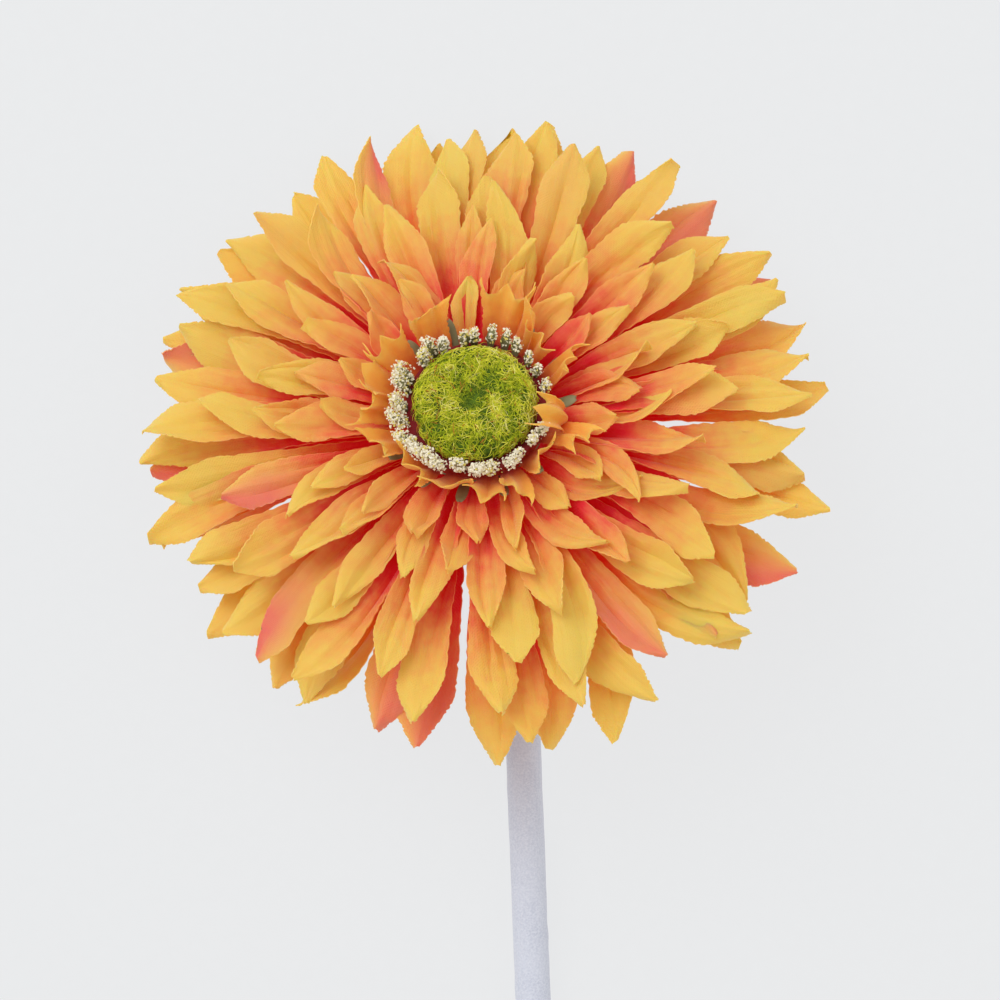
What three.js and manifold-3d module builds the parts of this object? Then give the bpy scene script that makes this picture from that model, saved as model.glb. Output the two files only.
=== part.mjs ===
// A cut gerbera of printed fabric, lying on a table with its face up.
// Seven layers of petals, a ring of rounded tongues, a toothed collar and a cup of stamens are threaded on
// the peg of a green calyx, under a felted green disc. The calyx's socket holds the bent neck of a flocked
// stem. Millimetres, +Z up. The origin is at the middle of the whole flower's box, on the table. +Y runs
// along the stem towards the head.
import * as THREE from "three";
import { mergeVertices } from "three/addons/utils/BufferGeometryUtils.js";
import Module from "manifold-3d";

const wasm = await Module();
wasm.setup();

// ---- Driving dimensions (millimetres, degrees) ----

// The head: where its hub stands, and how its face leans away from straight up.
const HUB = new THREE.Vector3(-0.2, 168.1, 24.5); // middle of the lowest petal layer's underside
const LEAN_BACK = 20.5; // face leans towards +Y
const LEAN_SIDE = 4; // and a little towards -X

// The stack on the peg: every layer is one thin sheet, a round web with blades growing out of its rim.
const SHEET_THICKNESS = 0.6;
const WEB_PITCH = 0.9;
const WEB_HOLE_RADIUS = 2.8;
const RIM_RADIUS = 12.2; // where blades leave their web

// Petal layers, from the back of the head to the front. Rows are the cross-sections of a petal, as shares
// of its length. Layers with a parting leave a slit over the stem: their first and last petal stand this
// many degrees away from it.
const BIG_ROWS = [0, 0.38, 0.76, 0.87, 0.94, 1];
const SMALL_ROWS = [0, 0.42, 0.78, 1];
const PETAL_LAYERS = [
  { count: 24, length: 49.5, width: 9.2, rootAngle: 0, tipAngle: -10, rows: BIG_ROWS, parting: 7.4 },
  { count: 24, length: 48.5, width: 9.2, rootAngle: 5, tipAngle: -6, rows: BIG_ROWS, parting: 14.2 },
  { count: 23, length: 46.5, width: 9.0, rootAngle: 9, tipAngle: 0, rows: BIG_ROWS, parting: 8.4 },
  { count: 21, length: 38.6, width: 8.7, rootAngle: 14, tipAngle: 5, rows: BIG_ROWS, parting: 15.5 },
  { count: 20, length: 30.7, width: 7.8, rootAngle: 19, tipAngle: 10, rows: SMALL_ROWS, parting: 9.5 },
  { count: 19, length: 23.8, width: 6.9, rootAngle: 23, tipAngle: 16, rows: SMALL_ROWS },
  { count: 17, length: 16.3, width: 6.2, rootAngle: 28, tipAngle: 22, rows: SMALL_ROWS },
];
const PARTING_AT = -95; // azimuth of the slit, seen from the front of the head
const ROOT_FILL = 0.86; // share of the rim taken up by roots
const WIDEST_AT = 0.8; // share of a petal's length where it is widest
const TIP_SHARE = 0.05;
const VALLEY = 0.16; // how far the lower half folds up beside its midrib, as a share of its half width
const BROW = 0.3; // how far the tip folds down beside it

// How much the petals differ from each other (degrees, and shares of the length and width).
const SEED = 44.1;
const LIFT_SPREAD = 1.7;
const STAGGER = 0.8; // every other petal is lifted by this angle, and the rest lowered
const TWIST_SPREAD = 8;
const SWAY_SPREAD = 3;
const LENGTH_SPREAD = 0.045;
const WIDTH_SPREAD = 0.03;

// The tongues under the toothed collar, and the collar's lobes.
const TONGUES = {
  count: 14, length: 8, width: 2.9, rootAngle: 30, tipAngle: 34, rows: [0, 0.55, 0.88, 1],
};
const COLLAR = {
  count: 16, length: 11.8, width: 8.0, rootAngle: 42, tipAngle: 80, rows: [0, 0.35, 0.7, 1],
};
const COLLAR_TOOTH = 0.24; // depth of the notches at a lobe's end, as a share of its length

// The stamens stand on a shallow cup round the disc.
const CUP_HEIGHT = 2.4;
const CUP_FOOT_RADIUS = 11.0;
const CUP_RIM_RADIUS = 12.7;
const STAMEN_COUNT = 28;
const STAMEN_RING_RADIUS = 12.35;
const STAMEN_HEIGHT = 6.6;
const STAMEN_THIN = 0.5; // radius at the foot
const STAMEN_THICK = 1.0; // and where the club swells
const STAMEN_LEAN = 14; // outwards

// The felted disc.
const DISC_RADIUS = 10.8;
const DISC_HEIGHT = 5.2;
const DISC_SIDES = 40;
const TUFT = 0.3; // how far the tufts stand out and the hollows between them sink
const REST_GAP = 0.3; // between pieces that rest on each other

// The calyx: a cup with its peg above, its socket below and a row of pointed bracts.
const PEG_RADIUS = 2.4;
const CUP_RADIUS = 10.6;
const CALYX_DEPTH = 12;
const SOCKET_DEPTH = 6;
const SOCKET_WALL = 1.3;
const CALYX_SIDES = 24;
const BRACTS = { count: 14, length: 12.5, width: 5.0, rootAngle: 22, tipAngle: 4, rows: [0, 0.55, 1] };
const BRACT_ROOT_RADIUS = 6.5;
const BRACT_ROOT_HEIGHT = -5.4;

// The stem.
const STEM_RADIUS = 3.3;
const STEM_CLEARANCE = 0.3; // in its socket
const STEM_SIDES = 12;
const STEM_STEPS_PER_STRETCH = 8;
const NECK_FOOT = new THREE.Vector3(6.4, 144.1, 8.5); // the bend behind the head ends here
const TOUCH_DOWN = new THREE.Vector3(11.2, 20.1, 3.23); // from here to the cut end it lies on the table
const CUT_END = new THREE.Vector3(20.6, -224.5, 3.23);
const NECK_HANDLE = 8; // handle lengths of the two curved stretches
const SAG_HANDLE = 45;

const PETAL_COLOUR = 0xf0a848;
const COLLAR_COLOUR = 0xe8a040;
const LEAF_GREEN = 0x7d8560;
const DISC_GREEN = 0x8a9a20;
const STEM_WHITE = 0xd4d7e0;

// ---- Helpers ----

const radians = THREE.MathUtils.degToRad;

const headPose = new THREE.Matrix4()
  .makeRotationFromEuler(new THREE.Euler(radians(-LEAN_BACK), radians(-LEAN_SIDE), 0))
  .setPosition(HUB);
const headPoseBack = headPose.clone().invert();

// A repeatable draw from -1 to 1 for one trait of one blade of one layer.
function draw(layer, blade, trait) {
  const wave = Math.sin(layer * 127.1 + blade * 311.7 + trait * 74.7 + SEED) * 43758.5453;
  return (wave - Math.floor(wave)) * 2 - 1;
}

function toSolid(geometry) {
  const bare = geometry.clone();
  bare.deleteAttribute("normal");
  bare.deleteAttribute("uv");
  const merged = mergeVertices(bare, 1e-3);
  return new wasm.Manifold(
    new wasm.Mesh({
      numProp: 3,
      vertProperties: merged.attributes.position.array,
      triVerts: new Uint32Array(merged.index.array),
    }),
  );
}

function toGeometry(solid) {
  const mesh = solid.getMesh();
  const geometry = new THREE.BufferGeometry();
  geometry.setAttribute("position", new THREE.BufferAttribute(mesh.vertProperties, 3));
  geometry.setIndex(new THREE.BufferAttribute(mesh.triVerts, 1));
  geometry.computeVertexNormals();
  return geometry;
}

// A solid turned about Z from its outline of [radius, height] corners, listed from the bottom up.
function turned(outline, sides) {
  const points = outline.map(([radius, height]) => new THREE.Vector2(radius, height));
  return new THREE.LatheGeometry(points, sides).rotateX(Math.PI / 2);
}

function part(name, geometry, colour, roughness) {
  const material = new THREE.MeshStandardMaterial({ color: colour, roughness, metalness: 0 });
  const mesh = new THREE.Mesh(geometry, material);
  mesh.name = name;
  return mesh;
}

// ---- Rosettes: petals, tongues, lobes and bracts on their webs ----

// A closed thin solid from the points of its upper and its lower face, which share one set of triangles. A
// wall is built on every edge that only one triangle has.
function sheetSolid(upper, lower, triangles) {
  const count = upper.length;
  const rim = new Map();
  for (const [a, b, c] of triangles) {
    for (const [from, to] of [[a, b], [b, c], [c, a]]) {
      if (!rim.delete(`${to} ${from}`)) rim.set(`${from} ${to}`, [from, to]);
    }
  }
  const faces = triangles.flatMap(([a, b, c]) => [a, b, c, count + a, count + c, count + b]);
  for (const [from, to] of rim.values()) {
    faces.push(count + from, count + to, to, count + from, to, from);
  }
  const geometry = new THREE.BufferGeometry().setFromPoints([...upper, ...lower]);
  geometry.setIndex(faces);
  return geometry;
}

// Width of a pointed petal along its length, as a share of the greatest width: a wedge up to the widest
// place, then a rounded point.
function petalOutline(along, rootShare) {
  const share = along / WIDEST_AT;
  if (share < 1) return rootShare + (1 - rootShare) * (1.12 * share - 0.12 * share ** 9);
  return Math.max(TIP_SHARE, 1 - ((along - WIDEST_AT) / (1 - WIDEST_AT)) ** 2);
}

// How far a petal's sides rise (or droop) beside its midrib, as a share of its half width.
function petalFold(along) {
  const valley = VALLEY * Math.sin(Math.PI * THREE.MathUtils.clamp(along / 0.6, 0, 1));
  return valley - BROW * Math.max(0, along - 0.5) ** 2 * 4;
}

// The traits of one blade, from its layer's dimensions and its own draws.
function bladeTraits(layer, level, index, wildness) {
  const step = layer.parting ? (360 - 2 * layer.parting) / (layer.count - 1) : 360 / layer.count;
  const first = layer.parting ? PARTING_AT + layer.parting : 41 * level;
  const rootRadius = layer.rootRadius ?? RIM_RADIUS;
  const atParting = layer.parting && (index === 0 || index === layer.count - 1);
  return {
    ...layer,
    rootRadius,
    rootHeight: layer.rootHeight ?? level * WEB_PITCH + SHEET_THICKNESS / 2,
    rootShare: (ROOT_FILL * rootRadius * radians(step)) / layer.width,
    azimuth: first + index * step,
    lift: wildness * (LIFT_SPREAD * draw(level, index, 2) + STAGGER * (index % 2 ? 1 : -1)),
    twist: wildness * TWIST_SPREAD * draw(level, index, 3),
    sway: atParting ? 0 : wildness * SWAY_SPREAD * draw(level, index, 4),
    length: layer.length * (1 + LENGTH_SPREAD * draw(level, index, 5)),
    width: layer.width * (1 + WIDTH_SPREAD * draw(level, index, 6)),
  };
}

// A point of a blade, at a share of its length and of its half width, on the upper (1) or lower (-1) face.
// The blade's angle above its web runs from rootAngle to tipAngle; at the root it is mitred onto the web.
function bladePoint(blade, along, across, face) {
  const start = radians(blade.rootAngle);
  const bend = radians(blade.tipAngle - blade.rootAngle + blade.lift);
  const angle = along > 0 ? start + bend * along : start / 2;
  const offset = SHEET_THICKNESS / 2 / (along > 0 ? 1 : Math.cos(angle));
  const radius = blade.rootRadius
    + (blade.length * (Math.sin(start + bend * along) - Math.sin(start))) / bend;
  const height = blade.rootHeight
    + (blade.length * (Math.cos(start) - Math.cos(start + bend * along))) / bend;
  const azimuth = radians(blade.azimuth + blade.sway * along ** 3);
  const twist = radians(blade.twist) * along;
  const half = (blade.width / 2) * blade.outline(along, blade.rootShare);

  const outwards = new THREE.Vector3(Math.cos(azimuth), Math.sin(azimuth), 0);
  const sideways = new THREE.Vector3(outwards.y, -outwards.x, 0);
  const upwards = outwards.clone().multiplyScalar(-Math.sin(angle)).setZ(Math.cos(angle));
  const [turn, tilt] = [Math.cos(twist), Math.sin(twist)];
  const chord = sideways.clone().multiplyScalar(turn).addScaledVector(upwards, tilt);
  const normal = upwards.clone().multiplyScalar(turn).addScaledVector(sideways, -tilt);
  return outwards
    .multiplyScalar(radius)
    .setZ(height)
    .addScaledVector(chord, half * across)
    .addScaledVector(normal, half * blade.fold(along) * Math.abs(across) + face * offset);
}

// One rosette: `blades` in order of azimuth, on a web with a hole of `holeRadius`. `move` may shift a
// point.
function rosette(blades, columns, holeRadius, move = (point) => point) {
  const { rows } = blades[0];
  const upper = [];
  const lower = [];
  const add = (point) => {
    upper.push(move(point(1), 1));
    lower.push(move(point(-1), -1));
    return upper.length - 1;
  };
  const grids = blades.map((blade) =>
    rows.map((along) =>
      Array.from({ length: columns + 1 }, (_, column) =>
        add((face) => blade.place(along, (2 * column) / columns - 1, face)))));
  const hole = blades.map((blade) => {
    const corner = new THREE.Vector3().setFromCylindricalCoords(holeRadius, radians(90 + blade.azimuth), 0);
    return add((face) =>
      new THREE.Vector3(corner.x, -corner.z, blade.rootHeight + (face * SHEET_THICKNESS) / 2));
  });

  const triangles = [];
  grids.forEach((grid, index) => {
    const next = (index + 1) % blades.length;
    const root = grid[0];
    for (let row = 0; row < rows.length - 1; row++) {
      for (let column = 0; column < columns; column++) {
        const [a, b] = [grid[row][column], grid[row][column + 1]];
        const [d, c] = [grid[row + 1][column], grid[row + 1][column + 1]];
        triangles.push([a, b, c], [a, c, d]);
      }
    }
    for (let column = columns; column > 0; column--) {
      triangles.push([hole[index], root[column], root[column - 1]]);
    }
    triangles.push([hole[index], root[0], hole[next]], [hole[next], root[0], grids[next][0][columns]]);
  });
  return sheetSolid(upper, lower, triangles);
}

// Lays a petal's point on the table, or on the layers that already lie there, where it would reach through.
function laidDown(point, level, face) {
  const lowest = level * (SHEET_THICKNESS + REST_GAP) + (face > 0 ? SHEET_THICKNESS : 0);
  point.applyMatrix4(headPose);
  point.z = Math.max(point.z, lowest);
  return point.applyMatrix4(headPoseBack);
}

function bladesOf(layer, level, wildness, shape) {
  return Array.from({ length: layer.count }, (_, index) => {
    const blade = { ...bladeTraits(layer, level, index, wildness), ...shape };
    blade.place ??= (along, across, face) => bladePoint(blade, along, across, face);
    return blade;
  });
}

function petalLayer(layer, level) {
  const petals = bladesOf(layer, level, 1, { outline: petalOutline, fold: petalFold });
  return rosette(petals, 2, WEB_HOLE_RADIUS, (point, face) => laidDown(point, level, face));
}

// Rounded tongues: parallel sides and a round end.
function tongueRing(level) {
  const outline = (along) => (along < 0.5 ? 1 : Math.sqrt(1 - ((along - 0.5) / 0.52) ** 2));
  return rosette(bladesOf(TONGUES, level, 0.3, { outline, fold: () => 0 }), 2, WEB_HOLE_RADIUS);
}

// Lobes that flare upwards and end in three teeth.
function toothedCollar(level) {
  const outline = (along, rootShare) =>
    rootShare + (1 - rootShare) * Math.sin((Math.PI / 2) * Math.min(1, along / 0.7));
  const fold = (along) => -0.15 * Math.min(1, along / 0.35);
  const lobes = bladesOf(COLLAR, level, 1, { outline, fold });
  for (const lobe of lobes) {
    lobe.place = (along, across, face) => {
      const notched = along === 1 && Math.abs(Math.abs(across) - 0.5) < 0.01;
      return bladePoint(lobe, notched ? 1 - COLLAR_TOOTH : along, across, face);
    };
  }
  return rosette(lobes, 4, WEB_HOLE_RADIUS);
}

// ---- Stamens, disc, calyx and stem ----

function stamenRing(level) {
  const bottom = level * WEB_PITCH;
  const top = bottom + CUP_HEIGHT;
  const cup = toSolid(
    turned(
      [
        [WEB_HOLE_RADIUS, bottom],
        [CUP_FOOT_RADIUS, bottom],
        [CUP_RIM_RADIUS, top],
        [WEB_HOLE_RADIUS, top],
        [WEB_HOLE_RADIUS, bottom],
      ],
      STAMEN_COUNT,
    ),
  );
  const club = [
    [0, 0],
    [STAMEN_THIN, 0],
    [STAMEN_THICK, STAMEN_HEIGHT * 0.62],
    [0, STAMEN_HEIGHT],
  ];
  const pieces = [cup];
  for (let index = 0; index < STAMEN_COUNT; index++) {
    const stamen = turned(club, 5)
      .scale(0.8, 1, 1 + 0.12 * draw(level, index, 5))
      .rotateY(radians(STAMEN_LEAN * (1 + 0.35 * draw(level, index, 2))))
      .translate(STAMEN_RING_RADIUS, 0, top - 0.8)
      .rotateZ(radians((index * 360) / STAMEN_COUNT));
    pieces.push(toSolid(stamen));
  }
  return toGeometry(wasm.Manifold.union(pieces));
}

// A low dome, dimpled in the middle, whose surface is knotted into tufts.
function disc(level) {
  const bottom = level * WEB_PITCH + CUP_HEIGHT + REST_GAP;
  const outline = [
    [0, 0],
    [DISC_RADIUS * 0.95, 0],
    [DISC_RADIUS, DISC_HEIGHT * 0.22],
    [DISC_RADIUS * 0.99, DISC_HEIGHT * 0.48],
    [DISC_RADIUS * 0.93, DISC_HEIGHT * 0.72],
    [DISC_RADIUS * 0.82, DISC_HEIGHT * 0.88],
    [DISC_RADIUS * 0.67, DISC_HEIGHT * 0.96],
    [DISC_RADIUS * 0.51, DISC_HEIGHT],
    [DISC_RADIUS * 0.35, DISC_HEIGHT * 0.98],
    [DISC_RADIUS * 0.19, DISC_HEIGHT * 0.93],
    [0, DISC_HEIGHT * 0.88],
  ];
  const dome = turned(outline, DISC_SIDES);
  const points = dome.attributes.position;
  const corner = new THREE.Vector3();
  for (let i = 0; i < points.count; i++) {
    const ring = i % outline.length;
    const onSurface = ring > 1 && ring < outline.length - 1;
    if (!onSurface) continue;
    const spoke = Math.floor(i / outline.length);
    const sign = (ring + spoke) % 2 ? 1 : -1;
    corner.fromBufferAttribute(points, i);
    const outwards = corner.clone().setZ(corner.z - DISC_HEIGHT * 0.3).normalize();
    corner.addScaledVector(outwards, sign * TUFT * Math.min(1, Math.hypot(corner.x, corner.y) / 6));
    points.setXYZ(i, corner.x, corner.y, corner.z);
  }
  dome.translate(0, 0, bottom);
  return toGeometry(toSolid(dome));
}

function calyx(discLevel) {
  const pegTop = discLevel * WEB_PITCH + CUP_HEIGHT;
  const socketRadius = STEM_RADIUS + STEM_CLEARANCE;
  const cup = turned(
    [
      [0, SOCKET_DEPTH - CALYX_DEPTH],
      [socketRadius, SOCKET_DEPTH - CALYX_DEPTH],
      [socketRadius, -CALYX_DEPTH],
      [socketRadius + SOCKET_WALL, -CALYX_DEPTH],
      [socketRadius + SOCKET_WALL * 1.2, -CALYX_DEPTH * 0.78],
      [CUP_RADIUS * 0.66, -CALYX_DEPTH * 0.56],
      [CUP_RADIUS * 0.92, -CALYX_DEPTH * 0.32],
      [CUP_RADIUS, -CALYX_DEPTH * 0.1],
      [CUP_RADIUS * 0.98, -REST_GAP],
      [PEG_RADIUS, -REST_GAP],
      [PEG_RADIUS, pegTop],
      [0, pegTop],
    ],
    CALYX_SIDES,
  );
  const seated = { ...BRACTS, rootRadius: BRACT_ROOT_RADIUS, rootHeight: BRACT_ROOT_HEIGHT };
  const outline = (along, rootShare) =>
    Math.max(TIP_SHARE, (rootShare + (1 - rootShare) * Math.min(1, along * 3)) * (1 - along ** 3));
  const fold = (along) => 0.2 * along;
  const bracts = rosette(bladesOf(seated, -1, 0.3, { outline, fold }), 2, PEG_RADIUS);
  return toGeometry(wasm.Manifold.union([toSolid(cup), toSolid(bracts)]));
}

// The stem's middle line: straight in its socket, round the neck, down to the table and along it.
class StemLine extends THREE.Curve {
  constructor(stretches) {
    super();
    this.stretches = stretches;
  }

  getPoint(share, target = new THREE.Vector3()) {
    const place = THREE.MathUtils.clamp(share, 0, 1) * this.stretches.length;
    const index = Math.min(this.stretches.length - 1, Math.floor(place));
    return this.stretches[index].getPoint(place - index, target);
  }

  // Steps are shared out by stretch and not by length, so the short bend gets as many as the long run.
  getUtoTmapping(share) {
    return share;
  }
}

function stem() {
  const backwards = new THREE.Vector3(0, 0, -1).transformDirection(headPose);
  const onAxis = (height) => new THREE.Vector3(0, 0, height).applyMatrix4(headPose);
  const seat = onAxis(SOCKET_DEPTH - CALYX_DEPTH - STEM_CLEARANCE);
  const mouth = onAxis(-CALYX_DEPTH);
  const fall = TOUCH_DOWN.clone().sub(NECK_FOOT).normalize();
  const run = CUT_END.clone().sub(TOUCH_DOWN).normalize();
  const line = new StemLine([
    new THREE.LineCurve3(seat, mouth),
    new THREE.CubicBezierCurve3(
      mouth,
      mouth.clone().addScaledVector(backwards, NECK_HANDLE),
      NECK_FOOT.clone().addScaledVector(fall, -NECK_HANDLE),
      NECK_FOOT,
    ),
    new THREE.CubicBezierCurve3(
      NECK_FOOT,
      NECK_FOOT.clone().addScaledVector(fall, SAG_HANDLE),
      TOUCH_DOWN.clone().addScaledVector(run, -SAG_HANDLE),
      TOUCH_DOWN,
    ),
    new THREE.LineCurve3(TOUCH_DOWN, CUT_END),
  ]);
  const section = new THREE.Shape().absarc(0, 0, STEM_RADIUS, 0, 2 * Math.PI);
  const geometry = new THREE.ExtrudeGeometry(section, {
    steps: STEM_STEPS_PER_STRETCH * line.stretches.length,
    curveSegments: STEM_SIDES / 2,
    extrudePath: line,
  });
  return toGeometry(toSolid(geometry));
}

// ---- The flower ----

const head = new THREE.Group();
head.applyMatrix4(headPose);
PETAL_LAYERS.forEach((layer, level) => {
  head.add(part(`petal_layer_${level + 1}`, petalLayer(layer, level), PETAL_COLOUR, 0.85));
});
const tongueLevel = PETAL_LAYERS.length;
const collarLevel = tongueLevel + 1;
const stamenLevel = collarLevel + 1;
head.add(part("tongue_ring", tongueRing(tongueLevel), LEAF_GREEN, 0.6));
head.add(part("toothed_collar", toothedCollar(collarLevel), COLLAR_COLOUR, 0.85));
head.add(part("stamen_ring", stamenRing(stamenLevel), LEAF_GREEN, 0.7));
head.add(part("disc", disc(stamenLevel), DISC_GREEN, 0.95));
head.add(part("calyx", calyx(stamenLevel), LEAF_GREEN, 0.6));

const flower = new THREE.Group();
flower.add(head);
flower.add(part("stem", stem(), STEM_WHITE, 0.95));

export default flower;
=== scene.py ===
# %% [markdown]
# # A cut gerbera of printed cloth
# The flower lies face up on a pale table. Its solid frame is already there: one node for each piece of the
# real flower. Here every node gets the cloth, flock, felt or moulded plastic that is seen on it.

import math

import bmesh
import bpy
import numpy as np
from mathutils import Matrix, Vector


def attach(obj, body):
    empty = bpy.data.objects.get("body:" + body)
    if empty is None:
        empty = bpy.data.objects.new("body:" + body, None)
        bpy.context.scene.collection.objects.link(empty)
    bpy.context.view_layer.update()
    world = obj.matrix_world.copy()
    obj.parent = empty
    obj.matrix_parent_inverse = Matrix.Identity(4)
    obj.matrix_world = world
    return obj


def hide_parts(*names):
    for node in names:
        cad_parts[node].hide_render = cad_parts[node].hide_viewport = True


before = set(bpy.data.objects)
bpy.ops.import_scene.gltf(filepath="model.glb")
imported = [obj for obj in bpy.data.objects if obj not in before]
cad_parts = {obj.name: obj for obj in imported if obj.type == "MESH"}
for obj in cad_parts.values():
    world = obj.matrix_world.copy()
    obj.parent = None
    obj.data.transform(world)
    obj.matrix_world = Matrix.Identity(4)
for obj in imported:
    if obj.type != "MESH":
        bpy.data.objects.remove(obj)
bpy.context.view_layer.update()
scene = bpy.context.scene
print("frame:", sorted(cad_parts))

# %% [markdown]
# ## Measures
# The frame's measures come first, in millimetres and degrees: every petal is bent by the same rule as its
# solid and so lands on it. The head's pose turns a point of the head, whose +Z runs out of the disc, into one
# on the table.

# %% The head's pose
MM = 0.001
HUB = Vector((-0.2, 168.1, 24.5))
LEAN_BACK, LEAN_SIDE = 20.5, 4
CLOTH = 0.6  # thickness of a layer in the frame
PITCH = 0.9  # from one layer to the next on the peg
RIM = 12.2  # radius at which petals leave their web
HOLE = 2.8  # radius of the hole in a web

head_pose = (
    Matrix.Translation(HUB)
    @ Matrix.Rotation(math.radians(-LEAN_BACK), 4, "X")
    @ Matrix.Rotation(math.radians(-LEAN_SIDE), 4, "Y")
)
TURN = np.array(head_pose.to_3x3())
SHIFT = np.array(HUB)
UP = np.array([0, 0, 1.0])


def on_table(points):
    """Points of the head, in millimetres, as points on the table."""
    return points @ TURN.T + SHIFT


def apart(first, second):
    """Degrees between two azimuths."""
    return abs((first - second + 180) % 360 - 180)


print("the head faces", [round(value, 3) for value in TURN[:, 2]])

# %% [markdown]
# ## Camera
# The picture was taken from straight above with a long lens, so the camera hangs 80 cm over the head. Its lens
# follows from how much is shown at the hub's height.

# %% Hang the camera
CAMERA_HEIGHT = 800  # over the hub
SHOWN_WIDTH = 181  # at the hub's height
CAMERA_PLACE = Vector((3.42, 155.25, HUB.z + CAMERA_HEIGHT))

camera_data = bpy.data.cameras.new("camera")
camera_data.sensor_fit = "HORIZONTAL"
camera_data.lens = camera_data.sensor_width * CAMERA_HEIGHT / SHOWN_WIDTH
camera_data.clip_start, camera_data.clip_end = 0.01, 10
camera = bpy.data.objects.new("camera", camera_data)
camera.location = CAMERA_PLACE * MM
scene.collection.objects.link(camera)
scene.camera = camera
print("lens", round(camera_data.lens, 1), "mm")

# %% [markdown]
# ## Helpers for working by hand
# An operator works on whatever is selected, so each step starts from an empty selection, and the points that it
# should move are then picked by their place.


# %% Select, edit and finish a mesh
def work_in(mode):
    bpy.ops.object.mode_set(mode=mode)


def clear_selection():
    if bpy.context.object and bpy.context.object.mode != "OBJECT":
        work_in("OBJECT")
    bpy.ops.object.select_all(action="DESELECT")


def added(name):
    """The piece that an operator has just added, named. Its place becomes part of its points."""
    bpy.ops.object.transform_apply(location=True)
    bpy.context.object.name = name
    return bpy.context.object


def only(piece):
    clear_selection()
    piece.select_set(True)
    bpy.context.view_layer.objects.active = piece


def pick(piece, test):
    """In edit mode, selects the points whose place passes the test."""
    bpy.ops.mesh.select_all(action="DESELECT")
    bpy.ops.mesh.select_mode(type="VERT")
    mesh = bmesh.from_edit_mesh(piece.data)
    for point in mesh.verts:
        point.select_set(bool(test(point.co)))
    mesh.select_flush(True)
    bmesh.update_edit_mesh(piece.data)


def apply_modifier(piece, kind, **settings):
    only(piece)
    bpy.ops.object.modifier_add(type=kind)
    modifier = piece.modifiers[-1]
    for name, value in settings.items():
        setattr(modifier, name, value)
    bpy.ops.object.modifier_apply(modifier=modifier.name)


def smooth(piece, angle=40):
    only(piece)
    bpy.ops.object.shade_smooth_by_angle(angle=math.radians(angle))


def dress(piece, node, slot, *finishes):
    """Puts a finished piece in the place of its node. Joined pieces bring their finishes with them."""
    for finish in finishes:
        piece.data.materials.append(finish)
    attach(piece, "root")
    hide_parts(node)
    triangles = sum(len(face.vertices) - 2 for face in piece.data.polygons)
    corners = np.array(piece.bound_box) / MM
    low, high = corners.min(0).round(1).tolist(), corners.max(0).round(1).tolist()
    print(f"{piece.name}: {triangles} triangles, {low} to {high} mm")


# %% [markdown]
# ## Copies
# Each small shape is modelled once and copied. No two copies are bent alike, so the points of each are worked
# out on their own, and all copies in a piece end up in one mesh.


# %% Copy a shape many times into one mesh
def points_of(piece):
    flat = np.empty(len(piece.data.vertices) * 3)
    piece.data.vertices.foreach_get("co", flat)
    return flat.reshape(-1, 3)


def take(piece):
    """Takes a piece away and keeps its points and faces, to copy."""
    shape = points_of(piece), [tuple(face.vertices) for face in piece.data.polygons]
    bpy.data.objects.remove(piece)
    return shape


def joined_copies(name, faces, copies, marks=None):
    """One mesh from many copies of a shape: points in millimetres, and marks as {name: values for each point}."""
    count = len(copies[0])
    every_face = [
        tuple(corner + count * index for corner in face) for index in range(len(copies)) for face in faces
    ]
    mesh = bpy.data.meshes.new(name)
    mesh.from_pydata((np.concatenate(copies) * MM).tolist(), [], every_face)
    piece = bpy.data.objects.new(name, mesh)
    scene.collection.objects.link(piece)
    for mark, values in (marks or {}).items():
        mesh.attributes.new(mark, "FLOAT", "POINT").data.foreach_set("value", np.concatenate(values))
    return piece


def join(piece, *others):
    only(piece)
    for other in others:
        other.select_set(True)
    bpy.ops.object.join()


# %% [markdown]
# ## Node helpers
# Finishes are built from nodes. These helpers add a node, set or link its inputs, and do sums.


# %% Lay and join nodes
def feed(tree, socket, value):
    """Links the value if another node gives it, and sets it if it is a plain number or colour."""
    if isinstance(value, bpy.types.NodeSocket):
        tree.links.new(value, socket)
    else:
        socket.default_value = value


def lay(tree, kind, inputs=None, **settings):
    """Adds a node, in rows of twelve."""
    node = tree.nodes.new(kind)
    node.location = (220 * (len(tree.nodes) % 12), -260 * (len(tree.nodes) // 12))
    for name, value in settings.items():
        setattr(node, name, value)
    for key, value in (inputs or {}).items():
        feed(tree, node.inputs[key], value)
    return node


def sums(tree, operation, *values, clamp=False):
    return lay(tree, "ShaderNodeMath", dict(enumerate(values)), operation=operation, use_clamp=clamp).outputs[0]


def noise(tree, place, scale, detail=2, roughness=0.5):
    inputs = {"Vector": place, "Scale": scale, "Detail": detail, "Roughness": roughness}
    return lay(tree, "ShaderNodeTexNoise", inputs).outputs["Fac"]


def spread(tree, value, low, high, to_low=0.0, to_high=1.0):
    inputs = {"Value": value, "From Min": low, "From Max": high, "To Min": to_low, "To Max": to_high}
    return lay(tree, "ShaderNodeMapRange", inputs).outputs[0]


def clouds(tree, place, scale, detail, to_low=0.0, to_high=1.0):
    """Noise, stretched to the whole of a range."""
    return spread(tree, noise(tree, place, scale, detail), 0.3, 0.7, to_low, to_high)


def swing(tree, value, amount):
    """Noise, as a little more and a little less."""
    return spread(tree, value, 0.3, 0.7, -amount, amount)


def colour(red, green, blue):
    """A colour read off a swatch, 0 to 255, as light."""
    values = [value / 255 for value in (red, green, blue)]
    return [value / 12.92 if value < 0.04 else ((value + 0.055) / 1.055) ** 2.4 for value in values] + [1]


def ramp(tree, value, stops):
    node = lay(tree, "ShaderNodeValToRGB", {"Fac": value})
    elements = node.color_ramp.elements
    while len(elements) < len(stops):
        elements.new(0.5)
    for element, (place, swatch) in zip(elements, stops):
        element.position = place
        element.color = colour(*swatch)
    return node.outputs["Color"]


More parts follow.
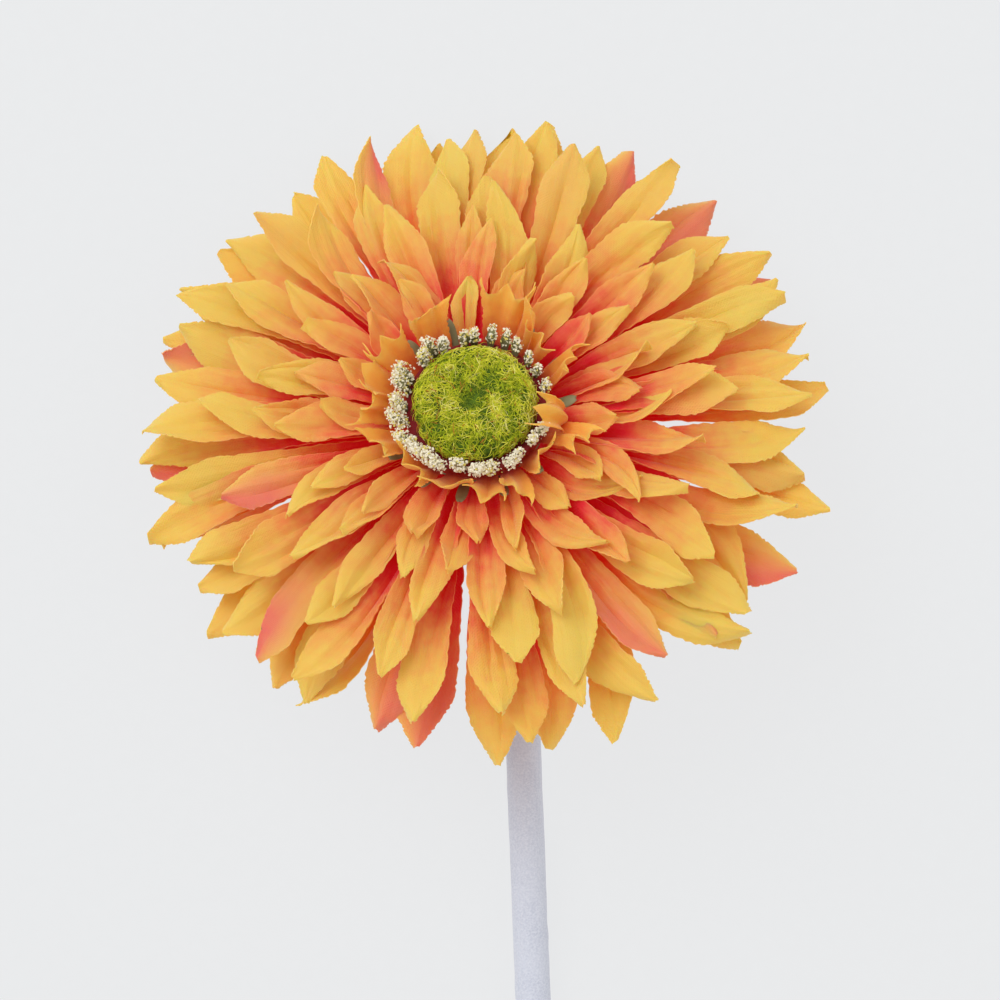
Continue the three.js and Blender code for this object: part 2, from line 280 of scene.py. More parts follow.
def blended(tree, share, first, second, how="MIX"):
    """A mix of colours. Their sockets have the same names as those for numbers, so they go by number."""
    inputs = {0: share, 6: first, 7: second}
    return lay(tree, "ShaderNodeMix", inputs, data_type="RGBA", blend_type=how).outputs[2]


def mark(tree, name):
    return lay(tree, "ShaderNodeAttribute", attribute_name=name).outputs["Fac"]


def new_group(name, inputs, outputs):
    """A group that takes and gives numbers: inputs as {label: value}, outputs as labels."""
    group = bpy.data.node_groups.new(name, "ShaderNodeTree")
    for label, value in inputs.items():
        socket = group.interface.new_socket(label, in_out="INPUT", socket_type="NodeSocketFloat")
        socket.default_value = value
    for label in outputs:
        group.interface.new_socket(label, in_out="OUTPUT", socket_type="NodeSocketFloat")
    return group, lay(group, "NodeGroupInput").outputs, lay(group, "NodeGroupOutput").inputs


def new_finish(name):
    """A material with an empty tree, its shader and the object's own coordinates."""
    material = bpy.data.materials.new(name)
    material.use_nodes = True
    tree = material.node_tree
    tree.nodes.clear()
    shader = lay(tree, "ShaderNodeBsdfPrincipled")
    tree.links.new(shader.outputs[0], lay(tree, "ShaderNodeOutputMaterial").inputs["Surface"])
    print("finish:", name)
    return material, tree, shader, lay(tree, "ShaderNodeTexCoord").outputs["Object"]


def painted_glow(tree, shader, dye, share):
    """A painted glow: the surface emits its dye taken twice, at a strength of share, in place of light that goes
    through thin stuff, so its shadows are lifted. Returns the colour thrown back, dimmed for the glow.
    """
    feed(tree, shader.inputs["Emission Color"], blended(tree, 1.0, dye, dye, "MULTIPLY"))
    shader.inputs["Emission Strength"].default_value = share
    kept = 1 - 1.4 * share
    return blended(tree, 1.0, dye, (kept, kept, kept, 1), "MULTIPLY")


def thin_cloth_with_glow(tree, shader, dye):
    shader.inputs["Sheen Weight"].default_value = 0.15
    shader.inputs["Sheen Roughness"].default_value = 0.5
    shader.inputs["Subsurface Weight"].default_value = 0.7
    shader.inputs["Subsurface Radius"].default_value = (1.0, 0.3, 0.1)
    shader.inputs["Subsurface Scale"].default_value = 0.9 * MM
    # painted glow of the cloth's own dye, on top of the subsurface above
    return painted_glow(tree, shader, dye, 0.16)


def finish_shader(tree, shader, base, roughness, height, bump, distance):
    """The last step of each finish: its colour, its roughness, and a height that dents it by some millimetres."""
    feed(tree, shader.inputs["Base Color"], base)
    feed(tree, shader.inputs["Roughness"], roughness)
    inputs = {"Height": height, "Strength": bump, "Distance": distance * MM}
    feed(tree, shader.inputs["Normal"], lay(tree, "ShaderNodeBump", inputs).outputs[0])


# %% [markdown]
# ## Woven cloth, as a group
# Petals and collar are die-cut from woven cloth. Its threads cross over and under: two rows of ridges take turns
# on a chessboard. The group gives a height for bump, and uneven dye.

# %% Weave group
weave, given, result = new_group(
    "weave", {"Along": 0.0, "Across": 0.0, "Thread": 0.4}, ["Height", "Dye", "Streaks"]
)
turns = sums(weave, "DIVIDE", math.pi, given["Thread"])
warp_wave, weft_wave = (
    sums(weave, "SINE", sums(weave, "MULTIPLY", given[way], turns)) for way in ("Along", "Across")
)
over = sums(weave, "GREATER_THAN", sums(weave, "MULTIPLY", warp_wave, weft_wave), 0.0)
under = sums(weave, "SUBTRACT", 1.0, over)
warp_ridges = sums(weave, "MULTIPLY", over, sums(weave, "ABSOLUTE", warp_wave))
weft_ridges = sums(weave, "MULTIPLY", under, sums(weave, "ABSOLUTE", weft_wave))
ridges = sums(weave, "ADD", warp_ridges, weft_ridges)
cloth_place = lay(weave, "ShaderNodeCombineXYZ", {0: given["Across"], 1: given["Along"]}).outputs[0]
slubs = noise(weave, cloth_place, 1.6, 3)
feed(weave, result["Height"], sums(weave, "ADD", ridges, slubs))
drawn_out = sums(weave, "MULTIPLY", given["Along"], 0.12)  # streaks are eight times as long as wide
streak_place = lay(weave, "ShaderNodeCombineXYZ", {0: given["Across"], 1: drawn_out}).outputs[0]
feed(weave, result["Streaks"], noise(weave, streak_place, 1.1, 3))
feed(weave, result["Dye"], noise(weave, cloth_place, 0.35, 3))
print("weave group:", len(weave.nodes), "nodes")


def woven(tree, thread):
    """The weave, laid along and across the cloth by its marks. thread is in millimetres."""
    inputs = {"Along": mark(tree, "cloth_along"), "Across": mark(tree, "cloth_across"), "Thread": thread}
    return lay(tree, "ShaderNodeGroup", inputs, node_tree=weave).outputs


# %% [markdown]
# ## Petal cloth
# The print runs from crimson at the root through coral and orange to yellow at the tip, and the crimson follows
# a fold or an edge like a flame. Marks on the cloth say where a point lies, how ripe its print is, and how much
# of its tip was dipped in coral.

# %% Petal finish
petal_cloth, tree, shader, _ = new_finish("petal cloth")
across = mark(tree, "across")
threads = woven(tree, 0.3)
ripe = sums(tree, "SUBTRACT", mark(tree, "ripe"), mark(tree, "flame"))
uneven = sums(tree, "ADD", swing(tree, threads["Dye"], 0.06), swing(tree, threads["Streaks"], 0.04))
PRINT = [  # from root to tip
    (0.0, (230, 4, 32)), (0.36, (234, 20, 42)), (0.46, (237, 99, 62)), (0.57, (238, 151, 74)),
    (0.7, (238, 179, 82)), (0.84, (237, 200, 86)), (1.0, (236, 207, 92)),
]
CORAL, EDGE_THREADS_AND_HIGHLIGHT = (230, 118, 98), (250, 206, 120)
print_colour = ramp(tree, sums(tree, "ADD", ripe, uneven), PRINT)
dipped = sums(tree, "ADD", mark(tree, "blush"), sums(tree, "MULTIPLY", uneven, mark(tree, "blush")), clamp=True)
petal_colour = blended(tree, dipped, print_colour, colour(*CORAL))
# The cut edge is painted paler: partly its pale loose threads, partly a painted highlight for the thin line of
# light that the edge catches.
edge_threads_and_highlight = spread(tree, sums(tree, "ABSOLUTE", across), 0.95, 1.0, 0.0, 0.4)
petal_colour = blended(tree, edge_threads_and_highlight, petal_colour, colour(*EDGE_THREADS_AND_HIGHLIGHT))
creased = sums(tree, "ADD", threads["Height"], sums(tree, "MULTIPLY", threads["Streaks"], 8.0))
# painted glow: the petals emit their own colour, squared, which lifts the shade between them
finish_shader(tree, shader, thin_cloth_with_glow(tree, shader, petal_colour), 0.6, creased, 0.42, 0.1)

# %% [markdown]
# ## The petal dies
# A petal is cut flat from cloth: a narrow root, sides that open slowly to a shoulder near the end, and a blunt
# point. A die is a grid whose rows are moved to their place and squeezed to the petal's width. A simple
# subdivision makes it fine enough to bend.

# %% Cut a flat die from a grid
LONG_PETAL = [
    (0.0, 0.27), (0.08, 0.31), (0.16, 0.36), (0.24, 0.43), (0.32, 0.5), (0.4, 0.58), (0.48, 0.67),
    (0.56, 0.76), (0.64, 0.85), (0.71, 0.92), (0.77, 0.975), (0.82, 1.0), (0.85, 0.94), (0.875, 0.84),
    (0.9, 0.71), (0.925, 0.57), (0.95, 0.42), (0.972, 0.28), (0.988, 0.18), (1.0, 0.1),
]
SHORT_PETAL = [
    (0.0, 0.46), (0.12, 0.54), (0.24, 0.63), (0.36, 0.73), (0.48, 0.83), (0.6, 0.93), (0.7, 1.0),
    (0.75, 0.94), (0.8, 0.82), (0.85, 0.66), (0.9, 0.48), (0.94, 0.33), (0.975, 0.19), (1.0, 0.1),
]


def cut_die(name, columns, rows):
    """A flat shape, one unit long and wide: its rows are (place, width). Its mark says how far across it is."""
    clear_selection()
    steps = len(rows) - 1
    bpy.ops.mesh.primitive_grid_add(x_subdivisions=columns, y_subdivisions=steps, size=1, location=(0, 0.5, 0))
    die = added(name)
    flat = points_of(die)
    die.data.attributes.new("across", "FLOAT", "POINT").data.foreach_set("value", flat[:, 0] * 2)
    work_in("EDIT")
    for index in range(steps, -1, -1):  # from the tip down, so that no row passes one that is still to move
        place, width = rows[index]
        pick(die, lambda co: abs(co.y - index / steps) < 1e-4)
        bpy.ops.transform.translate(value=(0, place - index / steps, 0))
        bpy.ops.transform.resize(value=(width, 1, 1))
    work_in("OBJECT")
    return die


def read_die(die, fineness):
    """Made fine, its points in shares of width and length, how far across they are, and its faces."""
    apply_modifier(die, "SUBSURF", subdivision_type="SIMPLE", levels=fineness, render_levels=fineness)
    across = np.empty(len(die.data.vertices))
    die.data.attributes["across"].data.foreach_get("value", across)
    points, faces = take(die)
    return points[:, 0], points[:, 1], across, faces


long_petal = read_die(cut_die("long_petal", 3, LONG_PETAL), 2)
short_petal = read_die(cut_die("short_petal", 3, SHORT_PETAL), 2)
print("a long petal has", len(long_petal[3]), "faces, a short one", len(short_petal[3]))

# %% [markdown]
# ## Bending a petal
# Each petal rises from its web and bends by the frame's rule. No modifier bends by that rule, so the points are
# worked out: along an arc, out to the side along a twisted chord, and up by the relief.

# %% Layers, and the traits of each petal
PETAL_LAYERS = [
    # count, length, width, root angle, tip angle, parting, die
    (24, 49.5, 9.2, 0, -10, 7.4, long_petal),
    (24, 48.5, 9.2, 5, -6, 14.2, long_petal),
    (23, 46.5, 9.0, 9, 0, 8.4, long_petal),
    (21, 38.6, 8.7, 14, 5, 15.5, long_petal),
    (20, 30.7, 7.8, 19, 10, 9.5, short_petal),
    (19, 23.8, 6.9, 23, 16, 0, short_petal),
    (17, 16.3, 6.2, 28, 22, 0, short_petal),
]
PARTING_AT = -95
LAYER_TURN = 41  # degrees from one layer to the next
SEED = 44.1
LIFT, STAGGER, TWIST, SWAY, LENGTHS, WIDTHS = 1.7, 0.8, 8, 3, 0.045, 0.03


def draw(layer, blade, trait):
    """The frame's repeatable draw, from -1 to 1."""
    wave = math.sin(layer * 127.1 + blade * 311.7 + trait * 74.7 + SEED) * 43758.5453
    return (wave - math.floor(wave)) * 2 - 1


def traits(level, index, count, length, width, root_angle, tip_angle, parting=0, wildness=1):
    step = (360 - 2 * parting) / (count - 1) if parting else 360 / count
    first = PARTING_AT + parting if parting else LAYER_TURN * level
    at_parting = parting and index in (0, count - 1)
    return {
        "azimuth": first + index * step,
        "root_angle": root_angle,
        "tip_angle": tip_angle + wildness * (LIFT * draw(level, index, 2) + STAGGER * (1 if index % 2 else -1)),
        "twist": wildness * TWIST * draw(level, index, 3),
        "sway": 0 if at_parting else wildness * SWAY * draw(level, index, 4),
        "length": length * (1 + LENGTHS * draw(level, index, 5)),
        "width": width * (1 + WIDTHS * draw(level, index, 6)),
        "root_height": level * PITCH + CLOTH / 2,
        "root_radius": RIM,
    }


def bent(blade, side, along, rise):
    """Points of a flat blade after bending. side and rise are in millimetres, along is a share of the length."""
    side, along, rise = side[:, None], along[:, None], rise[:, None]
    start = math.radians(blade["root_angle"])
    bend = math.radians(blade["tip_angle"] - blade["root_angle"])
    angle = start + bend * along
    radius = blade["root_radius"] + blade["length"] * (np.sin(angle) - math.sin(start)) / bend
    height = blade["root_height"] + blade["length"] * (math.cos(start) - np.cos(angle)) / bend
    azimuth = np.radians(blade["azimuth"] + blade["sway"] * along**3)
    twist = np.radians(blade["twist"]) * along
    outwards = np.hstack([np.cos(azimuth), np.sin(azimuth), 0 * along])
    sideways = np.hstack([np.sin(azimuth), -np.cos(azimuth), 0 * along])
    upwards = np.cos(angle) * UP - np.sin(angle) * outwards
    chord = np.cos(twist) * sideways + np.sin(twist) * upwards
    normal = np.cos(twist) * upwards - np.sin(twist) * sideways
    return radius * outwards + height * UP + side * chord + rise * normal


# %% [markdown]
# ## A petal's relief
# Pressed cloth is never flat: a sharp groove runs down the middle with a softer fold beside it, the sides rise
# near the root and droop at the shoulder, the edge ripples, and the tip curls. Each petal draws its own amounts,
# and the cut edge is frayed.

# %% Relief, fray and colour marks of one petal
# Petals whose tip was dipped in coral: (layer from the back, azimuth on the head)
DIPPED = [
    (2, 116), (1, 63), (1, 49), (0, 34), (0, -28), (2, -55), (1, -38), (0, -102), (1, -109), (2, -135),
    (3, -161), (0, 175), (0, 162),
]
# Petals that a hand bent aside, so that they fill the outline: (layer from the back, number): degrees
BENT_ASIDE = {
    (0, 13): -6, (0, 14): 7, (1, 5): 2, (1, 6): 5.5, (1, 12): 6.5, (2, 4): -1, (2, 10): -4, (2, 12): -6, (2, 16): 6,
}
# where on the print a layer's petals start and end, from the back to the front
RIPE_ROOT = [-0.1, -0.08, 0.0, 0.07, 0.13, 0.24, 0.32]
RIPE_TIP = [0.97, 1.02, 1.04, 1.0, 0.92, 0.84, 0.78]
# how wide and how long petals come out, as shares of the die
WIDTH_RANGE = [(0.98, 1.16), (0.92, 1.12)] + [(0.82, 1.08)] * 5
LENGTH_SPREAD = [0.015] * 3 + [0.05] * 4
# degrees by which a petal turns, sways, twists and lifts more or less than its solid
OWN_TURN, OWN_SWAY, OWN_TWIST, OWN_LIFT = 2.5, 4, 17, 3
SLIT_CLOSED = 0.9  # degrees by which each side of the parting leans in
FRAY = 0.04  # share of the width that the longest nick takes


def hump(distance, width, power=2):
    """One at no distance, and almost nothing at twice the width."""
    return np.exp(-np.abs(distance / width) ** power)


def relief(rng, blade, along, across):
    """How far each point stands out of its petal. Depths are shares of half the petal's width."""
    half = blade["width"] / 2
    off = across - rng.uniform(-0.25, 0.25) - rng.uniform(-0.3, 0.3) * along  # the groove wanders
    opening = np.clip(along / 0.08, 0, 1) * np.clip((1.02 - along) / 0.3, 0, 1)  # folds fade out at both ends
    groove = -rng.uniform(0.14, 0.42) * half * hump(off, 0.3, 1.4) * opening
    crease = -rng.uniform(0.03, 0.1) * half * hump(off, 0.09, 1.5) * opening
    where, deep = rng.choice([-1, 1]) * rng.uniform(0.4, 0.62), rng.uniform(0.04, 0.26)
    fold = -deep * half * hump(across - where * along**0.4, 0.2) * opening
    valley = 0.2 * np.sin(np.pi * np.clip(along / 0.7, 0, 1)) * rng.uniform(0.6, 1.6)
    droop = 1.2 * np.maximum(0, along - 0.5) ** 2 * rng.uniform(0.2, 1.3)
    sides = (valley * np.abs(across) - droop * across**2 + rng.normal(0, 0.16) * across * along) * half
    phase, waves = rng.uniform(0, 2 * np.pi), rng.uniform(1.0, 2.2)
    lag = rng.uniform(0.5, np.pi) * (across > 0)
    ripple = 0.16 * half * rng.uniform(0.3, 1.2) * np.sin(2 * np.pi * waves * along + phase + lag)
    curl = blade["length"] * rng.normal(0.03, 0.17) * np.maximum(0, along - 0.55) ** 2
    curl = curl + blade["length"] * rng.normal(0, 0.015) * np.sin(np.pi * along) ** 2
    return groove + crease + fold + sides + ripple * across**2 * np.clip(along * 3, 0, 1) + curl


def one_shoulder_higher(rng, along, across):
    tilt = rng.choice([-1, 1]) * rng.uniform(0.015, 0.07)
    return along + tilt * across * np.interp(along, [0, 0.4, 0.8, 1], [0, 0.4, 1, 0.1])


def fray(rng, side, across, width):
    """The cut edge steps in and out by a thread or two."""
    edge = np.abs(across) > 0.999
    return side - np.where(edge, np.sign(across) * FRAY * rng.uniform(0, 1, len(side)) ** 2 * width, 0)


def flame(rng, along, across):
    """How far the crimson runs up the petal: down the middle fold of some, along one edge of others."""
    if rng.rand() < 0.5:
        where, amount = rng.choice([-1, 1]), rng.uniform(0.2, 0.45)
    else:
        where, amount = rng.uniform(-0.3, 0.3), rng.uniform(0.05, 0.22)
    return amount * np.maximum(0, 1 - np.abs(across - where)) ** 1.4 * (1 - along**3)


def petal(level, index, layer):
    count, length, width, root_angle, tip_angle, parting, die = layer
    side, along, across, _ = die
    blade = traits(level, index, count, length, width, root_angle, tip_angle, parting)
    rng = np.random.RandomState(1000 * (level + 1) + index)
    at_parting = parting and index in (0, count - 1)
    free = 0.3 if at_parting else 1.0  # petals at the parting stay near their place
    blade["azimuth"] += free * rng.uniform(-OWN_TURN, OWN_TURN) + BENT_ASIDE.get((level, index), 0)
    if at_parting:
        blade["azimuth"] += SLIT_CLOSED if index else -SLIT_CLOSED
    blade["width"] *= rng.uniform(*WIDTH_RANGE[level])
    blade["length"] *= rng.normal(1, LENGTH_SPREAD[level])
    blade["sway"] += free * rng.normal(0, OWN_SWAY)
    blade["twist"] += free * rng.normal(0, OWN_TWIST)
    blade["tip_angle"] += free * rng.normal(0, OWN_LIFT)
    along = one_shoulder_higher(rng, along, across)
    side = fray(rng, side * blade["width"], across, blade["width"])
    points = on_table(bent(blade, side, along, relief(rng, blade, along, across)))
    points[:, 2] = np.maximum(points[:, 2], blade["root_height"])  # laid on what is below
    near = min([apart(blade["azimuth"], at) for row, at in DIPPED if row == level] or [360])
    dipped = near < 180 / count
    marks = {
        "across": across,
        "cloth_along": along * blade["length"] + rng.uniform(0, 90),  # cut from another place of the cloth
        "cloth_across": side + rng.uniform(0, 90),
        "ripe": RIPE_ROOT[level] + along * (RIPE_TIP[level] - RIPE_ROOT[level]) + rng.normal(0, 0.06),
        "flame": flame(rng, along, across),
        "blush": (rng.uniform(0.8, 1) if dipped else max(0, rng.normal(-0.1, 0.14)))
        * np.clip((along - rng.uniform(0.4, 0.6)) / 0.28, 0, 1)
        * np.clip(rng.uniform(0.55, 1) + rng.choice([-0.6, 0.6]) * across, 0, 1),
    }
    return points, marks


# %% [markdown]
# ## Round bodies
# Webs, cup, disc and calyx are round. Each starts as a circle that is extruded and drawn in or out, ring by ring,
# along its outline. It is made upright and then turned and moved to its place on the head.


# %% Raise a round body from a circle
def round_body(name, outline, sides, ends="NGON"):
    """outline lists (radius, height) ring by ring, in millimetres of the head. ends NOTHING leaves it open."""
    clear_selection()
    radius, height = outline[0]
    bpy.ops.mesh.primitive_circle_add(
        vertices=sides, radius=radius * MM, fill_type=ends, location=(0, 0, height * MM)
    )
    body = added(name)
    work_in("EDIT")
    bpy.ops.mesh.select_all(action="SELECT")
    for (before, low), (after, high) in zip(outline, outline[1:]):
        bpy.ops.mesh.extrude_region_move(TRANSFORM_OT_translate={"value": (0, 0, (high - low) * MM)})
        bpy.ops.transform.resize(value=(after / before, after / before, 1))
    bpy.ops.mesh.select_all(action="SELECT")
    bpy.ops.mesh.normals_make_consistent(inside=False)
    work_in("OBJECT")
    body.data.transform(Matrix.Scale(MM, 4) @ head_pose @ Matrix.Scale(1 / MM, 4))
    return body


# %% Cut, bend and join the seven layers
WEB_SIDES = 64
WEB_RINGS = (RIM + 0.4, 8, HOLE)  # its rim reaches under the petals' roots
CLOTH_SHOWN = 0.2  # thickness of the real cloth


def web(name, level, marks):
    """The round of cloth that a layer's petals grow out of: a flat ring, drawn inwards to its hole."""
    height = level * PITCH + CLOTH / 2
    ring = round_body(name, [(radius, height) for radius in WEB_RINGS], WEB_SIDES, "NOTHING")
    for mark_name in marks:
        ring.data.attributes.new(mark_name, "FLOAT", "POINT")
    return ring


def petal_layer(level):
    layer = PETAL_LAYERS[level]
    made = [petal(level, index, layer) for index in range(layer[0])]
    marks = {name: [each[1][name] for each in made] for name in made[0][1]}
    piece = joined_copies(f"petals_{level + 1}", layer[-1][3], [each[0] for each in made], marks)
    join(piece, web(f"web_{level + 1}", level, marks))
    apply_modifier(piece, "SOLIDIFY", thickness=CLOTH_SHOWN * MM, offset=0)
    smooth(piece, 50)
    dress(piece, f"petal_layer_{level + 1}", "petal_cloth", petal_cloth)


for level in range(len(PETAL_LAYERS)):
    petal_layer(level)

# %% [markdown]
# ## Moulded green plastic
# Calyx, bracts and tongues are soft moulded plastic: grey-green, slightly mottled and grained, with an uneven
# gloss.

# %% Green plastic finish
green_plastic, tree, shader, place = new_finish("green plastic")
blotches = spread(tree, noise(tree, place, 260, 3), 0.35, 0.65)
green = blended(tree, blotches, colour(120, 116, 78), colour(152, 149, 110))
gloss = clouds(tree, place, 900, 2, 0.38, 0.55)
finish_shader(tree, shader, green, gloss, noise(tree, place, 1400, 3), 0.2, 0.1)

# %% [markdown]
# ## Tongues
# A ring of narrow moulded tongues lies between the last petals and the toothed collar; only their tips peek
# out. A tongue is a flat die with a round end. The copies get their thickness, and a bevel rounds their edges.

# %% Mould the tongue ring
TONGUE = [(0.0, 0.8), (0.3, 0.85), (0.55, 1.0), (0.72, 1.0), (0.84, 0.9), (0.93, 0.66), (0.98, 0.38), (1.0, 0.12)]
TONGUES, TONGUE_LENGTH, TONGUE_WIDTH = 14, 6.9, 1.8
TONGUE_LEVEL = 7

side, along, across, faces = read_die(cut_die("tongue", 2, TONGUE), 1)
tongues = []
for index in range(TONGUES):
    blade = traits(TONGUE_LEVEL, index, TONGUES, TONGUE_LENGTH, TONGUE_WIDTH, 30, 34, wildness=0.3)
    rng = np.random.RandomState(8000 + index)
    blade["length"] *= rng.uniform(0.92, 1.04)
    rise = 0.25 * (1 - across**2) + rng.uniform(-0.5, 0.8) * along**2
    tongues.append(on_table(bent(blade, side * blade["width"], along, rise)))
tongue_ring = joined_copies("tongues", faces, tongues)
join(tongue_ring, web("tongue_web", TONGUE_LEVEL, {}))
apply_modifier(tongue_ring, "SOLIDIFY", thickness=0.7 * MM, offset=0)
apply_modifier(tongue_ring, "BEVEL", width=0.18 * MM, segments=2, limit_method="ANGLE")
smooth(tongue_ring)
dress(tongue_ring, "tongue_ring", "green_plastic", green_plastic)

# %% [markdown]
# ## Collar cloth
# The collar is cut from a slightly finer cloth of the same weave, in one ochre shade, deeper towards the root.

# %% Collar finish
collar_cloth, tree, shader, _ = new_finish("collar cloth")
threads = woven(tree, 0.28)
shade = sums(tree, "ADD", mark(tree, "along"), swing(tree, threads["Dye"], 0.12))
OCHRE = [
    (0.0, (190, 50, 26)), (0.3, (224, 122, 44)), (0.55, (238, 162, 60)), (0.8, (242, 182, 68)),
    (1.0, (242, 196, 84)),
]
ochre = ramp(tree, shade, OCHRE)
# painted glow: the collar emits its own ochre, squared, which lifts its shade
finish_shader(tree, shader, thin_cloth_with_glow(tree, shader, ochre), 0.6, threads["Height"], 0.35, 0.1)

# %% [markdown]
# ## Toothed collar
# Each lobe is a ribbon that flares to a fishtail with three teeth. The die is a grid again, whose last row is
# pulled out into teeth. The lobes stand up round the disc, and no two lean alike: those behind it lie open to
# the camera, and those in front stand on edge, so their lean is a list.

# %% Cut a lobe and bend sixteen of them
LOBE = [(0.0, 0.5), (0.15, 0.58), (0.3, 0.66), (0.45, 0.72), (0.6, 0.78), (0.72, 0.86), (0.84, 0.96), (1.0, 1.08)]
TEETH = ((-0.5, -0.25), (0.5, -0.22), (-1, 0.05), (1, 0.02))  # place across the end, and how far it is pulled out
COLLAR_LEVEL = 8
CUT_APART = 20  # millimetres of cloth between two lobes, so that their weaves differ
# azimuth on the head, root angle, tip angle, twist, length, width, curl outwards
LOBES = [
    (-20, 42, 38, 46, 13.0, 7.4, 0.8),
    (-11, 8, 186, -8, 14.0, 7.2, 0.0),
    (24, 42, 62, 56, 11.6, 7.4, 0.2),
    (47, 42, 78, 12, 9.4, 7.2, -0.4),
    (57, 42, 58, 64, 13.2, 6.8, 0.6),
    (74, 42, 44, -10, 13.4, 9.6, -0.4),
    (119, 42, 60, -12, 11.6, 8.8, -0.2),
    (146, 42, 56, 24, 11.8, 8.0, 0.2),
    (166, 42, 48, -14, 12.2, 8.4, 0.6),
    (181, 42, 58, 66, 12.2, 7.4, 0.4),
    (204, 42, 56, -30, 11.6, 8.2, 1.0),
    (230, 42, 84, 14, 10.2, 8.8, 0.5),
    (256, 42, 86, -14, 10.4, 9.4, 0.5),
    (279, 42, 68, 24, 11.0, 7.6, 1.2),
    (297, 42, 60, 66, 11.6, 7.2, 1.8),
    (316, 42, 86, -20, 9.6, 7.6, 0.4),
]


def cut_lobe():
    lobe = cut_die("lobe", 4, LOBE)
    work_in("EDIT")
    for place, back in TEETH:
        pick(lobe, lambda co: co.y > 0.999 and abs(co.x - place * 0.54) < 0.01)
        bpy.ops.transform.translate(value=(0, back, 0))
    work_in("OBJECT")
    return lobe


side, along, across, faces = read_die(cut_lobe(), 2)
lobes, lobe_marks = [], {"along": [], "cloth_along": [], "cloth_across": []}
for index, (azimuth, root_angle, tip_angle, twist, length, width, curl) in enumerate(LOBES):
    rng = np.random.RandomState(9000 + index)
    blade = traits(COLLAR_LEVEL, index, len(LOBES), length, width, root_angle, tip_angle)
    blade.update(azimuth=azimuth, tip_angle=tip_angle, twist=twist, length=length, width=width)
    blade["sway"] = rng.uniform(-6, 6)
    phase = rng.uniform(0, 2 * np.pi)
    ruffle = rng.uniform(0.7, 1.3) * np.sin(rng.uniform(1.2, 2.1) * np.pi * across + phase) * along**1.3
    pleat = -0.5 * hump(across, 0.2) * along * (1 - along) * 3
    flick = -curl * np.maximum(0, along - 0.4) ** 2 * 2.2
    edge = fray(rng, side * width, across, width)
    lobes.append(on_table(bent(blade, edge, along, ruffle + pleat + flick)))
    lobe_marks["along"].append(along)
    lobe_marks["cloth_along"].append(along * length + index * CUT_APART)
    lobe_marks["cloth_across"].append(side * width)
collar = joined_copies("collar_lobes", faces, lobes, lobe_marks)
join(collar, web("collar_web", COLLAR_LEVEL, lobe_marks))
apply_modifier(collar, "SOLIDIFY", thickness=CLOTH_SHOWN * MM, offset=0)
smooth(collar, 50)
dress(collar, "toothed_collar", "collar_cloth", collar_cloth)

# %% [markdown]
# ## Stamens
# Flat green spikes stand round the disc, crusted with crumbs of white flock and a few yellow ones. A spike is a
# cube drawn out and pinched. A crumb is a ball of only twenty faces, dented and turned at random, because there
# are thousands. On the left the stamens lean outwards, and their crumbs make one band.

# %% Crumb finish
crumb_flock, tree, shader, place = new_finish("flock crumbs")
speck = clouds(tree, place, 1500, 3)
white = blended(tree, speck, colour(242, 230, 200), colour(255, 250, 232))
yellow = blended(tree, speck, colour(222, 204, 90), colour(246, 232, 130))
crumb_colour = blended(tree, sums(tree, "GREATER_THAN", mark(tree, "yellow"), 0.5), white, yellow)
# painted glow: the crumbs emit a tenth of their colour, squared, which lifts the shade between them
crumb_colour = painted_glow(tree, shader, crumb_colour, 0.1)
finish_shader(tree, shader, crumb_colour, 0.9, noise(tree, place, 3500, 3), 0.5, 0.15)
shader.inputs["Sheen Weight"].default_value = 0.3

# %% Finish of the wine-red bed that the stamens stand in
wine_cloth, tree, shader, place = new_finish("wine bed")
dusk = clouds(tree, place, 500, 3)
wine = blended(tree, dusk, colour(110, 10, 18), colour(160, 22, 30))
finish_shader(tree, shader, wine, 0.8, dusk, 0.4, 0.2)

# %% One cup, one spike and one crumb
STAMEN_LEVEL = 9
CUP_BOTTOM = STAMEN_LEVEL * PITCH
CUP_TOP = CUP_BOTTOM + 2.4
STAMENS, STAMEN_CIRCLE, STAMEN_HEIGHT = 28, 12.0, 6.4

CUP = [(HOLE, CUP_BOTTOM), (11.0, CUP_BOTTOM), (12.2, CUP_TOP - 1), (12.6, CUP_TOP), (HOLE, CUP_TOP)]
SPIKE = ((0.0, 0.45), (0.25, 0.7), (0.5, 1.0), (0.75, 0.8), (1.0, 0.25))  # height, width

cup = round_body("stamens", CUP, 56)

clear_selection()
bpy.ops.mesh.primitive_cube_add(size=1, location=(0, 0, 0.5))
spike = added("spike")
work_in("EDIT")
bpy.ops.mesh.select_all(action="SELECT")
bpy.ops.mesh.subdivide(number_cuts=3)
for height, width in SPIKE:
    pick(spike, lambda co: abs(co.z - height) < 0.01)
    bpy.ops.transform.resize(value=(width, width, 1))
work_in("OBJECT")
spike_shape, spike_faces = take(spike)

clear_selection()
bpy.ops.mesh.primitive_ico_sphere_add(subdivisions=1, radius=0.5)
crumb_shape, crumb_faces = take(bpy.context.object)
print("a spike has", len(spike_faces), "faces, a crumb", len(crumb_faces))

# %% Set the stamens round the disc
PRESSED_AT, PRESSED_WIDTH = -9, 14  # degrees where the folded lobe lies on them
LEANING_AT, LEANING_WIDTH = 195, 40
SPIKE_WIDTH, SPIKE_DEPTH = 1.8, 0.7

